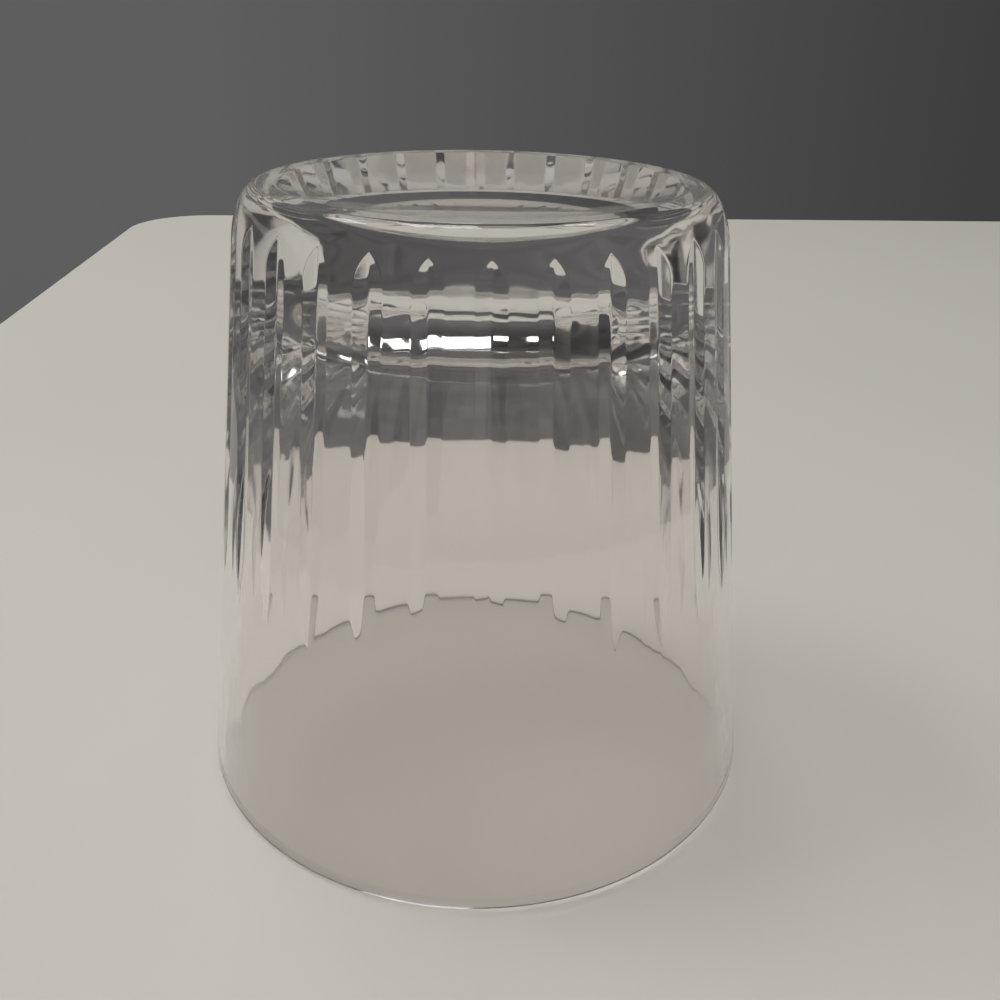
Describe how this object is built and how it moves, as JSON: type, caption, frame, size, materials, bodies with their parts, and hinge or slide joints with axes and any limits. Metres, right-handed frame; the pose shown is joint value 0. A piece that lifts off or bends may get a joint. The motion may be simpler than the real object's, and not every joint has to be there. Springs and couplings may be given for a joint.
{
  "type": "rocks glass",
  "caption": "Tapered clear tumbler, stood on its rim, with a thick base dished underneath, a rounded heel and rim, and V-cut flutes up its wall.",
  "frame": {"origin": "centre of the rim's plane, which the upturned glass stands on", "axes": "+Z along the glass's axis from the rim to the base, -Y through the middle of one flute"},
  "size_m": [0.086, 0.086, 0.0884],
  "materials": {
    "clear_glass": "fire-polished, clear and colourless"
  },
  "bodies": {
    "root": {"tumbler": "clear_glass"}
  },
  "joints": []
}
